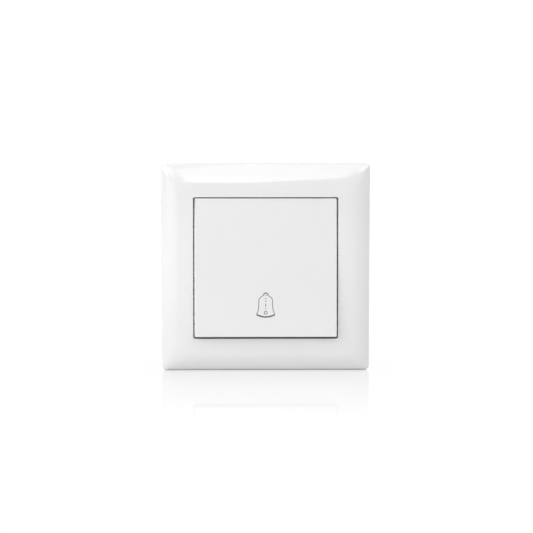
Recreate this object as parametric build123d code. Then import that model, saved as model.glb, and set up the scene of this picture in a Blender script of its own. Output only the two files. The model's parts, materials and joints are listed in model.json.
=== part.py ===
from build123d import *

import os
from math import cos, pi, radians, sin

# A flush-mounted doorbell switch: a momentary rocker in a square cover frame, for a 60 mm wall box.
# X runs to the right, Y into the wall and Z up. The origin is the middle of the wall plane.
# A level is a distance in front of the wall plane, so a negative level lies inside the wall box.

# Cover frame
FRAME_WIDTH = 80.5
FRAME_HEIGHT = 80.5
FRAME_DEPTH = 9.0
FRAME_WALL = 1.9
RIM_CORNER_RADIUS = 1.9
LAND_CORNER_RADIUS = 8.0
RIM_EDGE_RADIUS = 0.8
CROWN_RADIUS = 11.0
RIM_SLOPE = 44.0
LAND_SLOPE = 4.0
LAND_OVERRUN = 0.5
RIM_STEPS = 2
CROWN_STEPS = 6
LAND_STEPS = 4
WINDOW_WIDTH = 55.9
WINDOW_HEIGHT = 54.8
WINDOW_CORNER_RADIUS = 0.5
COLLAR_WALL = 1.5
COLLAR_DEPTH = 5.0
HOOK_WIDTH = 5.0
HOOK_THICKNESS = 1.3
HOOK_BITE = 0.8
HOOK_LIP = 1.2
HOOK_TIP_GAP = 1.0
HOOK_CLEARANCE = 0.15

# Rocker plate
ROCKER_PROUD = 0.8
ROCKER_WALL = 2.0
ROCKER_SIDE_GAP = 0.5
ROCKER_RUNNING_GAP = 0.27
ROCKER_CORNER_RADIUS = 0.6
ROCKER_EDGE_RADIUS = 0.4
SKIRT_DEPTH = 5.0
SKIRT_WALL = 1.5
RIB_WIDTH = 1.2
RIB_HEIGHT = 1.0
RIB_X = 9.0
RIB_Z = 20.0
LEG_X = 7.0
LEG_WIDTH = 4.0
LEG_THICKNESS = 1.4
LEG_BITE = 0.7
LEG_LIP = 1.0
LEG_CLEARANCE = 0.1
REST_TILT = 3.0

# Rocker cradle and its pivot
PIVOT_LEVEL = 4.4
TRUNNION_RADIUS = 1.8
TRUNNION_LENGTH = 2.5
TRUNNION_CLEARANCE = 0.05
CRADLE_WIDTH = 23.0
CRADLE_HEIGHT = 27.0
CRADLE_THICKNESS = 2.0
CHEEK_THICKNESS = 2.0
CHEEK_RADIUS = 2.2
NOSE_WIDTH = 3.6
NOSE_THICKNESS = 2.0
NOSE_GAP = 0.3
STOP_WIDTH = 14.0
STOP_THICKNESS = 2.0
STOP_Z = 11.0
STOP_CLEARANCE = 0.05

# Mechanism cover
COVER_THICKNESS = 2.0
COVER_CLEARANCE = 0.2
POST_THICKNESS = 2.4
POST_RADIUS = 2.7
POST_GAP = 0.3
NOSE_WINDOW_MARGIN = 0.8
WELL_DEPTH = 4.0
WELL_WALL = 1.0
SNAP_WIDTH = 4.8
SNAP_THICKNESS = 1.2
SNAP_LENGTH = 5.0
SNAP_BITE = 0.5
SNAP_LIP = 1.2
SNAP_CLEARANCE = 0.15

# Mechanism base
FLANGE_WIDTH = 39.0
FLANGE_HEIGHT = 46.0
FLANGE_THICKNESS = 3.0
FLANGE_CHAMFER = 4.0
BODY_WIDTH = 26.0
BODY_HEIGHT = 41.0
BODY_CHAMFER = 3.5
BASE_DEPTH = 20.5
BASE_EDGE = 0.8
CAVITY_WIDTH = 20.0
CAVITY_HEIGHT = 33.0
CAVITY_DEPTH = 10.5
RAMP_WIDTH = 10.0
RAMP_START = 5.0
RAMP_END = 16.5

# Mounting plate
PLATE_GAP = 3.1
PLATE_THICKNESS = 1.0
PLATE_CORNER_RADIUS = 6.0
OPENING_WIDTH = 31.0
OPENING_HEIGHT = 38.0
OPENING_CHAMFER = 6.5
BOX_SCREW_SPACING = 60.0
BOX_HOLE_RADIUS = 1.8
TAB_X = 15.0
TAB_WIDTH = 8.0
TAB_HEIGHT = 5.0
TAB_RELIEF_WIDTH = 1.0
TAB_RELIEF_DEPTH = 2.0

# Rivets that hold the base to the plate
RIVET_X = 15.5
RIVET_Z = 18.5
RIVET_RADIUS = 1.25
RIVET_CLEARANCE = 0.05
RIVET_HEAD_RADIUS = 2.1
RIVET_HEAD_HEIGHT = 0.6

# Expansion claws with their screws and nuts
CLAW_TRAVEL = 7.0
CLAW_SPREAD = 3.0
CLAW_WIDTH = 8.4
CLAW_THICKNESS = 1.2
CLAW_LEG_LENGTH = 6.0
CLAW_REACH = 27.2
CLAW_WING_LENGTH = 8.4
CLAW_TEETH = 4
CLAW_TOOTH_HEIGHT = 0.8
CLAW_EAR_HEIGHT = 1.8
CLAW_EAR_THICKNESS = 1.0
CLAW_CLEARANCE = 0.15
CLAW_SCREW_X = 23.0
CLAW_SCREW_RADIUS = 1.5
CLAW_SCREW_HEAD_RADIUS = 2.75
CLAW_SCREW_HEAD_HEIGHT = 2.0
CLAW_SCREW_OVERHANG = 1.5
NUT_SIZE = 5.5
NUT_THICKNESS = 2.4
NUT_CLEARANCE = 0.2
SCREW_CLEARANCE = 0.2
THREAD_CLEARANCE = 0.05
DRIVER_SLOT_WIDTH = 0.9
DRIVER_SLOT_DEPTH = 1.1

# Terminals and contacts
TERMINAL_X = 6.0
TERMINAL_Z = 12.5
CAGE_SIZE = 7.0
CAGE_WALL = 1.1
CAGE_SCREW_WALL = 1.6
CAGE_CLEARANCE = 0.12
WIRE_HOLE_RADIUS = 1.7
WIRE_FUNNEL = 0.8
TERMINAL_SCREW_RADIUS = 1.5
TERMINAL_SCREW_HEAD_RADIUS = 2.5
TERMINAL_SCREW_HEAD_HEIGHT = 1.9
TERMINAL_SCREW_TRAVEL = 2.2
TERMINAL_SCREW_GAP = 0.1
TERMINAL_ACCESS_CLEARANCE = 0.4
CONTACT_WIDTH = 4.4
CONTACT_MARGIN = 0.3
LEAF_THICKNESS = 0.4
LEAF_RISE = 3.2
LEAF_FLAT = 3.5
LEAF_END = 2.0
STRIP_THICKNESS = 0.8
TIP_RADIUS = 1.6
TIP_HEIGHT = 0.8

# Return spring
SPRING_Z = -6.0
SPRING_RADIUS = 2.3
SPRING_WIRE_RADIUS = 0.3
SPRING_WIRE_SIDES = 4
SPRING_TURNS = 3
SPRING_CLEARANCE = 0.3
SPRING_SEAT_GAP = 0.05
BOSS_HEIGHT = 1.2

# How near an edge must lie to a level to be found there
LEVEL_TOLERANCE = 0.01

# Levels and sizes that follow from the values above
TILT = radians(REST_TILT)
ROCKER_FRONT = FRAME_DEPTH + ROCKER_PROUD
ROCKER_BACK = ROCKER_FRONT - ROCKER_WALL
SKIRT_BACK = ROCKER_FRONT - SKIRT_DEPTH
CRADLE_FRONT = ROCKER_BACK - RIB_HEIGHT
CRADLE_BACK = CRADLE_FRONT - CRADLE_THICKNESS
ROCKER_END_GAP = (ROCKER_FRONT - PIVOT_LEVEL) * sin(TILT) + ROCKER_RUNNING_GAP
ROCKER_WIDTH = WINDOW_WIDTH - 2 * ROCKER_SIDE_GAP
ROCKER_HEIGHT = WINDOW_HEIGHT - 2 * ROCKER_END_GAP
PLATE_WIDTH = FRAME_WIDTH - 2 * (FRAME_WALL + PLATE_GAP)
PLATE_HEIGHT = FRAME_HEIGHT - 2 * (FRAME_WALL + PLATE_GAP)
HOOK_TIP = PLATE_THICKNESS + HOOK_TIP_GAP
COVER_WIDTH = OPENING_WIDTH - 2 * COVER_CLEARANCE
COVER_HEIGHT = OPENING_HEIGHT - 2 * COVER_CLEARANCE
CRADLE_SIDE = CRADLE_WIDTH / 2
POST_INSIDE = CRADLE_SIDE + POST_GAP
WELL_RADIUS = SPRING_RADIUS + SPRING_WIRE_RADIUS + SPRING_CLEARANCE
BOSS_RADIUS = SPRING_RADIUS - SPRING_WIRE_RADIUS - SPRING_CLEARANCE
FLOOR = -CAVITY_DEPTH
CAGE_BACK = FLOOR - CAGE_SIZE
TERMINAL_LEVEL = FLOOR - CAGE_SIZE / 2
CONTACT_Z = -TERMINAL_Z
LEAF_TIP_BACK = FLOOR + LEAF_RISE
LEAF_TIP_FRONT = LEAF_TIP_BACK + LEAF_THICKNESS
STRIP_FRONT = FLOOR + STRIP_THICKNESS
BODY_SIDE = BODY_WIDTH / 2
RAMP_SLOPE = CLAW_SPREAD / CLAW_TRAVEL
RAMP_SIDE = BODY_SIDE + (RAMP_END - RAMP_START) * RAMP_SLOPE
WEB_FRONT = -RAMP_END
WEB_BACK = WEB_FRONT - CLAW_THICKNESS
NUT_FRONT = WEB_BACK - CLAW_CLEARANCE
NUT_BACK = NUT_FRONT - NUT_THICKNESS
TERMINALS = {"line": (-TERMINAL_X, 1), "bell": (TERMINAL_X, -1)}
RIVETS = [(RIVET_X, RIVET_Z), (-RIVET_X, -RIVET_Z)]


def slab(sketch, low, high):
    """A sketch in X and Z, carried from one level to another."""
    return extrude(Plane.XZ.offset(low) * sketch, amount=high - low)


def block(x, z, width, height, low, high):
    """A rectangular bar along Y, centred on x and z, between two levels."""
    return slab(Pos(x, z) * Rectangle(width, height), low, high)


def rod(x, z, radius, low, high):
    """A round bar along Y between two levels."""
    return slab(Pos(x, z) * Circle(radius), low, high)


def upright_rod(x, level, radius, low, high):
    """A round bar along Z between two heights."""
    return extrude(Plane.XY.offset(low) * Pos(x, -level) * Circle(radius), amount=high - low)


def lying_rod(level, radius, left, right):
    """A round bar along X at mid-height, between two places in X."""
    return extrude(Plane.YZ.offset(left) * Pos(-level, 0) * Circle(radius), amount=right - left)


def across(points, x, width):
    """A closed outline in Z and level, carried across a width in X about x."""
    plane = Plane((x, 0, 0), x_dir=(0, 0, 1), z_dir=(1, 0, 0))
    return extrude(make_face(plane * Polyline(*points, close=True)), amount=width / 2, both=True)


def upright(points, height):
    """A closed outline in X and level, carried through a height in Z about the middle."""
    plane = Plane((0, 0, 0), x_dir=(1, 0, 0), z_dir=(0, 0, -1))
    return extrude(make_face(plane * Polyline(*points, close=True)), amount=height / 2, both=True)


def cut_corners(width, height, cut):
    """A rectangle with its four corners cut off."""
    return chamfer(Rectangle(width, height).vertices(), cut)


def corners(x, z):
    """The four places that mirror one another about the middle."""
    return [(i * x, j * z) for i in (-1, 1) for j in (-1, 1)]


def edges_at(solid, level):
    """The edges of a solid that lie wholly at one level."""
    return solid.edges().filter_by_position(Axis.Y, -level - LEVEL_TOLERANCE, -level + LEVEL_TOLERANCE)


def at_rest(solid):
    """A piece of the rocker, turned from the level pose to the rest pose."""
    return solid.rotate(Axis((0, -PIVOT_LEVEL, 0), (1, 0, 0)), -REST_TILT)


def front_arcs():
    """Radius, first and last slope and steps of each arc of the front, from the rim to the window's edge."""
    rim, land = radians(RIM_SLOPE), radians(LAND_SLOPE)
    border = max(FRAME_WIDTH - WINDOW_WIDTH, FRAME_HEIGHT - WINDOW_HEIGHT) / 2 + LAND_OVERRUN
    rim_run = RIM_EDGE_RADIUS * (1 - sin(rim))
    crown_run = CROWN_RADIUS * (sin(rim) - sin(land))
    land_radius = (border - rim_run - crown_run) / sin(land)
    return [
        (RIM_EDGE_RADIUS, pi / 2, rim, RIM_STEPS),
        (CROWN_RADIUS, rim, land, CROWN_STEPS),
        (land_radius, land, 0, LAND_STEPS),
    ]


def front_contours():
    """Inset and level of each contour of the front, from the rim to the window's edge."""
    inset, level = 0, FRAME_DEPTH
    for radius, first, last, _ in front_arcs():
        level -= radius * (cos(last) - cos(first))
    contours = [(inset, level)]
    for radius, first, last, steps in front_arcs():
        for step in range(1, steps + 1):
            slope = first + (last - first) * step / steps
            run = radius * (sin(first) - sin(slope))
            contours.append((inset + run, level + radius * (cos(slope) - cos(first))))
        inset, level = contours[-1]
    return contours


def frame_outside():
    """The frame without its hollow: a straight side and a front that is lofted through its contours."""
    contours = front_contours()
    last_inset = contours[-1][0]
    sections = []
    for inset, level in contours:
        radius = RIM_CORNER_RADIUS + (LAND_CORNER_RADIUS - RIM_CORNER_RADIUS) * inset / last_inset
        outline = RectangleRounded(FRAME_WIDTH - 2 * inset, FRAME_HEIGHT - 2 * inset, radius)
        sections.append(Plane.XZ.offset(level) * outline)
    side = RectangleRounded(FRAME_WIDTH, FRAME_HEIGHT, RIM_CORNER_RADIUS)
    return slab(side, 0, contours[0][1]) + loft(sections, ruled=True)


def frame_hollow():
    """The room behind the front, with a slope that follows the crown a wall's thickness behind it."""
    _, rim, land, _ = front_arcs()[1]
    run = CROWN_RADIUS * (sin(rim) - sin(land))
    rise = CROWN_RADIUS * (cos(land) - cos(rim))
    top = front_contours()[RIM_STEPS + CROWN_STEPS][1] - FRAME_WALL
    outline = RectangleRounded(FRAME_WIDTH - 2 * FRAME_WALL, FRAME_HEIGHT - 2 * FRAME_WALL, run + FRAME_WALL)
    room = slab(outline, 0, top)
    return chamfer(edges_at(room, top), run, rise, reference=room.faces().sort_by(Axis.Y)[0])


def frame_hooks():
    """Four barbed fingers that grip the mounting plate's tabs from outside."""
    hooks = []
    for x, side in corners(TAB_X, 1):
        inner = side * (PLATE_HEIGHT / 2 + HOOK_CLEARANCE)
        outer = inner + side * HOOK_THICKNESS
        tooth = inner - side * HOOK_BITE
        points = [
            (outer, FRAME_DEPTH - FRAME_WALL / 2),
            (outer, HOOK_TIP),
            (inner, HOOK_TIP),
            (tooth, HOOK_TIP + HOOK_LIP / 2),
            (tooth, HOOK_TIP + HOOK_LIP),
            (inner, HOOK_TIP + HOOK_LIP),
            (inner, FRAME_DEPTH - FRAME_WALL / 2),
        ]
        hooks.append(across(points, x, HOOK_WIDTH))
    return hooks


def make_cover_frame():
    outer = frame_outside()
    window = RectangleRounded(WINDOW_WIDTH, WINDOW_HEIGHT, WINDOW_CORNER_RADIUS)
    collar = offset(window, COLLAR_WALL)
    inside = slab(collar, FRAME_DEPTH - COLLAR_DEPTH, FRAME_DEPTH)
    for hook in frame_hooks():
        inside += hook
    shell = outer - frame_hollow()
    shell += inside & outer
    return shell - slab(window, 0, FRAME_DEPTH)


def make_rocker_plate():
    outline = RectangleRounded(ROCKER_WIDTH, ROCKER_HEIGHT, ROCKER_CORNER_RADIUS)
    plate = slab(outline, SKIRT_BACK, ROCKER_FRONT)
    plate = fillet(edges_at(plate, ROCKER_FRONT), ROCKER_EDGE_RADIUS)
    inner_width = ROCKER_WIDTH - 2 * SKIRT_WALL
    inner_height = ROCKER_HEIGHT - 2 * SKIRT_WALL
    plate -= block(0, 0, inner_width, inner_height, SKIRT_BACK, ROCKER_BACK)
    for side in (-1, 1):
        plate += block(side * RIB_X, 0, RIB_WIDTH, inner_height, CRADLE_FRONT, ROCKER_BACK)
        plate += block(0, side * RIB_Z, inner_width, RIB_WIDTH, CRADLE_FRONT, ROCKER_BACK)
    for x, side in corners(LEG_X, 1):
        inner = side * (CRADLE_HEIGHT / 2 + LEG_CLEARANCE)
        outer = inner + side * LEG_THICKNESS
        tooth = inner - side * LEG_BITE
        catch = CRADLE_BACK - LEG_CLEARANCE
        points = [
            (outer, ROCKER_BACK),
            (outer, catch - LEG_LIP),
            (inner, catch - LEG_LIP),
            (tooth, catch - LEG_LIP / 2),
            (tooth, catch),
            (inner, catch),
            (inner, ROCKER_BACK),
        ]
        plate += across(points, x, LEG_WIDTH)
    return at_rest(plate)


def make_rocker_cradle():
    cradle = block(0, 0, CRADLE_WIDTH, CRADLE_HEIGHT, CRADLE_BACK, CRADLE_FRONT)
    for side in (-1, 1):
        cheek_x = side * (CRADLE_SIDE - CHEEK_THICKNESS / 2)
        cradle += block(cheek_x, 0, CHEEK_THICKNESS, 2 * CHEEK_RADIUS, PIVOT_LEVEL, CRADLE_BACK)
        cradle += lying_rod(
            PIVOT_LEVEL, CHEEK_RADIUS, cheek_x - CHEEK_THICKNESS / 2, cheek_x + CHEEK_THICKNESS / 2
        )
        trunnion = sorted((side * CRADLE_SIDE, side * (CRADLE_SIDE + TRUNNION_LENGTH)))
        cradle += lying_rod(PIVOT_LEVEL, TRUNNION_RADIUS, *trunnion)
    stop_reach = (STOP_Z + STOP_THICKNESS / 2) * sin(TILT)
    stop_tip = PIVOT_LEVEL + (COVER_THICKNESS + STOP_CLEARANCE + stop_reach - PIVOT_LEVEL) / cos(TILT)
    for side in (-1, 1):
        cradle += block(0, side * STOP_Z, STOP_WIDTH, STOP_THICKNESS, stop_tip, CRADLE_BACK)
    nose_rest = LEAF_TIP_FRONT + NOSE_GAP + CONTACT_Z * sin(TILT)
    nose_tip = PIVOT_LEVEL + (nose_rest - PIVOT_LEVEL) / cos(TILT)
    nose_round = nose_tip + NOSE_THICKNESS / 2
    cradle += block(0, CONTACT_Z, NOSE_WIDTH, NOSE_THICKNESS, nose_round, CRADLE_BACK)
    cradle += Pos(0, 0, CONTACT_Z) * lying_rod(
        nose_round, NOSE_THICKNESS / 2, -NOSE_WIDTH / 2, NOSE_WIDTH / 2
    )
    cradle += rod(0, SPRING_Z, BOSS_RADIUS, CRADLE_BACK - BOSS_HEIGHT, CRADLE_BACK)
    return at_rest(cradle)


def snap_points(side, clearance):
    """Outline of one of the cover's snap arms, or of its seat when a clearance is added."""
    outer = side * (CAVITY_HEIGHT / 2 - SNAP_CLEARANCE + clearance)
    inner = outer - side * (SNAP_THICKNESS + clearance)
    tooth = outer + side * (SNAP_BITE + SNAP_CLEARANCE)
    catch = -(SNAP_LENGTH - SNAP_LIP) + clearance
    tip = -SNAP_LENGTH - clearance
    return [(outer, 0), (outer, catch), (tooth, catch), (outer, tip), (inner, tip), (inner, 0)]


def make_mechanism_cover():
    cover = slab(cut_corners(COVER_WIDTH, COVER_HEIGHT, OPENING_CHAMFER), 0, COVER_THICKNESS)
    for side in (-1, 1):
        post_x = side * (POST_INSIDE + POST_THICKNESS / 2)
        left, right = post_x - POST_THICKNESS / 2, post_x + POST_THICKNESS / 2
        cover += block(post_x, 0, POST_THICKNESS, 2 * POST_RADIUS, COVER_THICKNESS, PIVOT_LEVEL)
        cover += lying_rod(PIVOT_LEVEL, POST_RADIUS, left, right)
        cover -= lying_rod(PIVOT_LEVEL, TRUNNION_RADIUS + TRUNNION_CLEARANCE, left, right)
        cover += across(snap_points(side, 0), 0, SNAP_WIDTH)
    cover += rod(0, SPRING_Z, WELL_RADIUS + WELL_WALL, -WELL_DEPTH - WELL_WALL, 0)
    cover -= rod(0, SPRING_Z, WELL_RADIUS, -WELL_DEPTH, COVER_THICKNESS)
    window_width = NOSE_WIDTH + 2 * NOSE_WINDOW_MARGIN
    window_height = NOSE_THICKNESS + 2 * NOSE_WINDOW_MARGIN
    cover -= block(0, CONTACT_Z, window_width, window_height, 0, COVER_THICKNESS)
    return cover


def wire_z(side):
    """Height of a wire inlet, at the middle of its cage's opening."""
    return side * (TERMINAL_Z - (CAGE_SCREW_WALL - CAGE_WALL) / 2)


def make_mechanism_base():
    body = slab(cut_corners(BODY_WIDTH, BODY_HEIGHT, BODY_CHAMFER), -BASE_DEPTH, 0)
    body = chamfer(edges_at(body, -BASE_DEPTH), BASE_EDGE)
    base = body + slab(cut_corners(FLANGE_WIDTH, FLANGE_HEIGHT, FLANGE_CHAMFER), -FLANGE_THICKNESS, 0)
    for side in (-1, 1):
        ramp = [
            (side * CAVITY_WIDTH / 2, -FLANGE_THICKNESS),
            (side * RAMP_SIDE, -FLANGE_THICKNESS),
            (side * RAMP_SIDE, -RAMP_START),
            (side * BODY_SIDE, -RAMP_END),
            (side * CAVITY_WIDTH / 2, -RAMP_END),
        ]
        base += upright(ramp, RAMP_WIDTH)
    base -= block(0, 0, CAVITY_WIDTH, CAVITY_HEIGHT, FLOOR, 0)
    pocket = CAGE_SIZE + 2 * CAGE_CLEARANCE
    access = TERMINAL_SCREW_HEAD_RADIUS + TERMINAL_ACCESS_CLEARANCE
    for x, side in TERMINALS.values():
        base -= block(x, side * TERMINAL_Z, pocket, pocket, CAGE_BACK - CAGE_CLEARANCE, FLOOR)
        base -= rod(x, wire_z(side), WIRE_HOLE_RADIUS, -BASE_DEPTH, CAGE_BACK)
        shaft = sorted((side * TERMINAL_Z, side * BODY_HEIGHT / 2))
        base -= upright_rod(x, TERMINAL_LEVEL, access, *shaft)
    base = chamfer(edges_at(base, -BASE_DEPTH).filter_by(GeomType.CIRCLE), WIRE_FUNNEL)
    for x, z in RIVETS:
        base -= rod(x, z, RIVET_RADIUS + RIVET_CLEARANCE, -FLANGE_THICKNESS, 0)
    for side in (-1, 1):
        base -= across(snap_points(side, SNAP_CLEARANCE), 0, SNAP_WIDTH + 2 * SNAP_CLEARANCE)
    return base


def make_mounting_plate():
    plate = RectangleRounded(PLATE_WIDTH, PLATE_HEIGHT, PLATE_CORNER_RADIUS)
    plate -= cut_corners(OPENING_WIDTH, OPENING_HEIGHT, OPENING_CHAMFER)
    box_hole = Circle(BOX_HOLE_RADIUS)
    for side in (-1, 1):
        plate -= Pos(side * BOX_SCREW_SPACING / 2, 0) * box_hole
        plate -= Pos(0, side * BOX_SCREW_SPACING / 2) * box_hole
        plate -= Pos(side * CLAW_SCREW_X, 0) * Circle(CLAW_SCREW_RADIUS + SCREW_CLEARANCE)
    for x, z in RIVETS:
        plate -= Pos(x, z) * Circle(RIVET_RADIUS + RIVET_CLEARANCE)
    relief = Rectangle(TAB_RELIEF_WIDTH, 2 * TAB_RELIEF_DEPTH)
    for x, z in corners(TAB_X, PLATE_HEIGHT / 2):
        for side in (-1, 1):
            plate -= Pos(x + side * (TAB_WIDTH + TAB_RELIEF_WIDTH) / 2, z) * relief
    solid = slab(plate, 0, PLATE_THICKNESS)
    hole_width = HOOK_WIDTH + 2 * HOOK_CLEARANCE
    hole_low = HOOK_TIP - HOOK_CLEARANCE
    hole_high = HOOK_TIP + HOOK_LIP + HOOK_CLEARANCE
    for x, z in corners(TAB_X, (PLATE_HEIGHT - PLATE_THICKNESS) / 2):
        solid += block(x, z, TAB_WIDTH, PLATE_THICKNESS, 0, TAB_HEIGHT)
        solid -= block(x, z, hole_width, PLATE_THICKNESS, hole_low, hole_high)
    return solid


def make_plate_rivets():
    rivets = []
    tail = -FLANGE_THICKNESS - RIVET_HEAD_HEIGHT
    for x, z in RIVETS:
        rivet = rod(x, z, RIVET_RADIUS, -FLANGE_THICKNESS, PLATE_THICKNESS)
        rivet += rod(x, z, RIVET_HEAD_RADIUS, PLATE_THICKNESS, PLATE_THICKNESS + RIVET_HEAD_HEIGHT)
        rivet += rod(x, z, RIVET_HEAD_RADIUS, tail, -FLANGE_THICKNESS)
        rivets.append(rivet)
    return Compound(children=rivets)


def make_return_spring():
    seat = PIVOT_LEVEL + (CRADLE_BACK - PIVOT_LEVEL) * cos(TILT)
    near_edge = -SPRING_Z - SPRING_RADIUS - SPRING_WIRE_RADIUS
    top = seat + near_edge * sin(TILT) - SPRING_SEAT_GAP - SPRING_WIRE_RADIUS
    bottom = -WELL_DEPTH + SPRING_WIRE_RADIUS
    height = top - bottom
    coil = Helix(height / SPRING_TURNS, height, SPRING_RADIUS, (0, -bottom, SPRING_Z), (0, -1, 0))
    section = Plane(coil @ 0, z_dir=coil % 0) * RegularPolygon(SPRING_WIRE_RADIUS, SPRING_WIRE_SIDES)
    return sweep(section, path=coil)


def make_moving_contact():
    foot_end = TERMINAL_Z + CONTACT_WIDTH / 2
    bend = TERMINAL_Z - CAGE_SIZE / 2
    knee = CONTACT_Z + LEAF_FLAT
    back = [(foot_end, FLOOR), (bend, FLOOR), (knee, LEAF_TIP_BACK), (CONTACT_Z - LEAF_END, LEAF_TIP_BACK)]
    front = [(z, level + LEAF_THICKNESS) for z, level in reversed(back)]
    leaf = across(back + front, 0, CONTACT_WIDTH)
    foot_left = -TERMINAL_X - CAGE_SIZE / 2 + CONTACT_MARGIN
    foot_width = CONTACT_WIDTH / 2 - foot_left
    foot_x = foot_left + foot_width / 2
    return leaf + block(foot_x, TERMINAL_Z, foot_width, CONTACT_WIDTH, FLOOR, FLOOR + LEAF_THICKNESS)


def make_fixed_contact():
    left = -CONTACT_WIDTH / 2
    right = TERMINAL_X + CAGE_SIZE / 2 - CONTACT_MARGIN
    return block((left + right) / 2, CONTACT_Z, right - left, CONTACT_WIDTH, FLOOR, STRIP_FRONT)


def make_terminal_cage(x, side):
    inner = TERMINAL_Z - CAGE_SIZE / 2
    outer = TERMINAL_Z + CAGE_SIZE / 2
    cage = block(x, side * TERMINAL_Z, CAGE_SIZE, CAGE_SIZE, CAGE_BACK, FLOOR)
    opening_height = CAGE_SIZE - CAGE_WALL - CAGE_SCREW_WALL
    opening_z = inner + CAGE_WALL + opening_height / 2
    cage -= block(x, side * opening_z, CAGE_SIZE - 2 * CAGE_WALL, opening_height, CAGE_BACK, FLOOR)
    tapping = sorted((side * opening_z, side * outer))
    return cage - upright_rod(x, TERMINAL_LEVEL, TERMINAL_SCREW_RADIUS + THREAD_CLEARANCE, *tapping)


def make_terminal_screw(x, side):
    outer = TERMINAL_Z + CAGE_SIZE / 2
    tip = outer - CAGE_SCREW_WALL - TERMINAL_SCREW_GAP
    seat = outer + TERMINAL_SCREW_TRAVEL + TERMINAL_SCREW_GAP
    top = seat + TERMINAL_SCREW_HEAD_HEIGHT
    screw = upright_rod(x, TERMINAL_LEVEL, TERMINAL_SCREW_RADIUS, *sorted((side * tip, side * seat)))
    screw += upright_rod(x, TERMINAL_LEVEL, TERMINAL_SCREW_HEAD_RADIUS, *sorted((side * seat, side * top)))
    slot = Box(2 * TERMINAL_SCREW_HEAD_RADIUS, DRIVER_SLOT_WIDTH, 2 * DRIVER_SLOT_DEPTH)
    return screw - Pos(x, -TERMINAL_LEVEL, side * top) * slot


def make_claw():
    """The right-hand claw: a leg on the ramp, a web that the nut pulls and a toothed wing."""
    leg_front = WEB_FRONT + CLAW_LEG_LENGTH
    ramp_x = BODY_SIDE + CLAW_CLEARANCE
    leg_x = ramp_x + CLAW_LEG_LENGTH * RAMP_SLOPE
    leg_width = CLAW_THICKNESS * (1 + RAMP_SLOPE**2) ** 0.5
    wing_inside = CLAW_REACH - CLAW_THICKNESS
    wing_front = WEB_BACK + CLAW_WING_LENGTH
    pitch = CLAW_WING_LENGTH / CLAW_TEETH
    points = [(leg_x, leg_front), (ramp_x, WEB_FRONT), (ramp_x, WEB_BACK), (CLAW_REACH, WEB_BACK)]
    for tooth in range(1, CLAW_TEETH + 1):
        level = WEB_BACK + tooth * pitch
        points += [(CLAW_REACH + CLAW_TOOTH_HEIGHT, level), (CLAW_REACH, level)]
    points += [
        (wing_inside, wing_front),
        (wing_inside, WEB_FRONT),
        (ramp_x + leg_width, WEB_FRONT),
        (leg_x + leg_width, leg_front),
    ]
    claw = upright(points, CLAW_WIDTH)
    slot_x = CLAW_SCREW_X - CLAW_SPREAD / 2
    slot_width = 2 * (CLAW_SCREW_RADIUS + SCREW_CLEARANCE)
    claw -= slab(Pos(slot_x, 0) * SlotOverall(CLAW_SPREAD + slot_width, slot_width), WEB_BACK, WEB_FRONT)
    ear_z = NUT_SIZE / 2 + NUT_CLEARANCE + CLAW_EAR_THICKNESS / 2
    ear_back = WEB_BACK - CLAW_EAR_HEIGHT
    for side in (-1, 1):
        claw += block(slot_x, side * ear_z, CLAW_SPREAD + NUT_SIZE, CLAW_EAR_THICKNESS, ear_back, WEB_BACK)
    return claw


def make_claw_screw():
    head_front = PLATE_THICKNESS + CLAW_SCREW_HEAD_HEIGHT
    screw = rod(CLAW_SCREW_X, 0, CLAW_SCREW_RADIUS, NUT_BACK - CLAW_SCREW_OVERHANG, PLATE_THICKNESS)
    screw += rod(CLAW_SCREW_X, 0, CLAW_SCREW_HEAD_RADIUS, PLATE_THICKNESS, head_front)
    slot_length = 2 * CLAW_SCREW_HEAD_RADIUS
    return screw - block(
        CLAW_SCREW_X, 0, slot_length, DRIVER_SLOT_WIDTH, head_front - DRIVER_SLOT_DEPTH, head_front
    )


def make_claw_nut():
    nut = block(CLAW_SCREW_X, 0, NUT_SIZE, NUT_SIZE, NUT_BACK, NUT_FRONT)
    return nut - rod(CLAW_SCREW_X, 0, CLAW_SCREW_RADIUS + THREAD_CLEARANCE, NUT_BACK, NUT_FRONT)


def make_pieces():
    """Every piece of the switch, by name."""
    pieces = {
        "cover_frame": make_cover_frame(),
        "rocker_plate": make_rocker_plate(),
        "rocker_cradle": make_rocker_cradle(),
        "mechanism_cover": make_mechanism_cover(),
        "mechanism_base": make_mechanism_base(),
        "mounting_plate": make_mounting_plate(),
        "plate_rivets": make_plate_rivets(),
        "return_spring": make_return_spring(),
        "moving_contact": make_moving_contact(),
        "moving_contact_tip": rod(0, CONTACT_Z, TIP_RADIUS, LEAF_TIP_BACK - TIP_HEIGHT, LEAF_TIP_BACK),
        "fixed_contact": make_fixed_contact(),
        "fixed_contact_tip": rod(0, CONTACT_Z, TIP_RADIUS, STRIP_FRONT, STRIP_FRONT + TIP_HEIGHT),
    }
    for name, (x, side) in TERMINALS.items():
        pieces["terminal_cage_" + name] = make_terminal_cage(x, side)
        pieces["terminal_screw_" + name] = make_terminal_screw(x, side)
    for name, make in (("claw", make_claw), ("claw_screw", make_claw_screw), ("claw_nut", make_claw_nut)):
        right = make()
        pieces[name + "_right"] = right
        pieces[name + "_left"] = mirror(right, Plane.YZ)
    return pieces


if __name__ == "__main__":
    os.makedirs("parts", exist_ok=True)
    for name, piece in make_pieces().items():
        export_step(piece, f"parts/{name}.step")
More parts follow.
